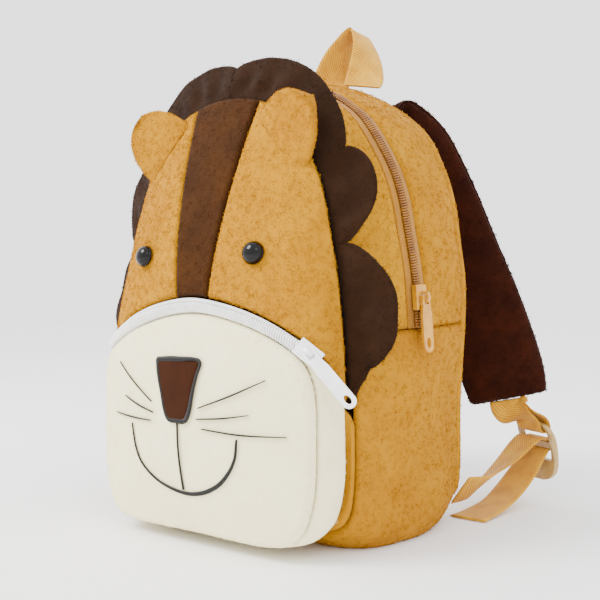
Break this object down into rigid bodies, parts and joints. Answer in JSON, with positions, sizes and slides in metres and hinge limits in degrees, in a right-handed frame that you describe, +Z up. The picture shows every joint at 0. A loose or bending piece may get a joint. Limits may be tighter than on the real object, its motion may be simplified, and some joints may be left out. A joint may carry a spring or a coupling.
{
  "type": "toddler animal backpack",
  "caption": "Plush lion toddler backpack with a domed face, scalloped mane, zipped muzzle pocket, curved main zip, hand loop and padded shoulder straps.",
  "frame": {"origin": "middle of the flat patch of the bottom that the bag stands on", "axes": "+Z up, -Y out of the lion's face, +X to the right as seen from the front"},
  "size_m": [0.2464, 0.2445, 0.3199],
  "materials": {
    "golden_plush": "short curly pile",
    "brown_plush": "short smooth pile",
    "nose_cloth": "satin edge",
    "mane_cloth": "flat fleece",
    "pad_plush": "short pile",
    "cream_cloth": "very smooth pile",
    "eye_plastic": "polished",
    "webbing": "woven",
    "buckle_plastic": "moulded",
    "golden_tape": "woven tape",
    "golden_zip_plastic": "moulded coil",
    "golden_zip_metal": "painted",
    "white_tape": "woven tape",
    "white_zip_plastic": "moulded coil",
    "white_zip_metal": "painted"
  },
  "bodies": {
    "bag": {"zip_strip_front": "golden_plush", "zip_strip_rear": "golden_plush", "lower_gusset": "golden_plush", "back_panel": "golden_plush", "front_panel": "golden_plush", "face_left": "golden_plush", "face_right": "golden_plush", "ear_right": "golden_plush", "ear_left": "golden_plush", "face_stripe": "brown_plush", "nose": "nose_cloth", "mane_right": "mane_cloth", "mane_left": "mane_cloth", "shoulder_pad_right": "pad_plush", "shoulder_pad_left": "pad_plush", "muzzle_front": "cream_cloth", "muzzle_gusset": "cream_cloth", "eye_left": "eye_plastic", "eye_right": "eye_plastic", "handle_loop": "webbing", "pad_webbing_right": "webbing", "pad_webbing_left": "webbing", "lower_strap_right": "webbing", "lower_strap_left": "webbing", "buckle_right": "buckle_plastic", "buckle_left": "buckle_plastic", "main_zip_tape": "golden_tape", "main_zip_coil": "golden_zip_plastic", "main_zip_slider": "golden_zip_metal", "pocket_zip_tape": "white_tape", "pocket_zip_coil": "white_zip_plastic", "pocket_zip_slider": "white_zip_metal"},
    "main_pull": {"main_zip_pull": "golden_zip_metal"},
    "pocket_pull": {"pocket_zip_pull": "white_zip_metal"}
  },
  "joints": [
    {"name": "main_pull_hinge", "type": "hinge", "parent": "bag", "child": "main_pull", "pos_m": [0.09885, -0.00506, 0.13789], "axis": [-0.1214, -0.9926, -0.0089], "range_deg": [0, 150]},
    {"name": "pocket_pull_hinge", "type": "hinge", "parent": "bag", "child": "pocket_pull", "pos_m": [0.07744, -0.08518, 0.11055], "axis": [-0.5709, -0.5157, -0.6388], "range_deg": [0, 150]}
  ]
}
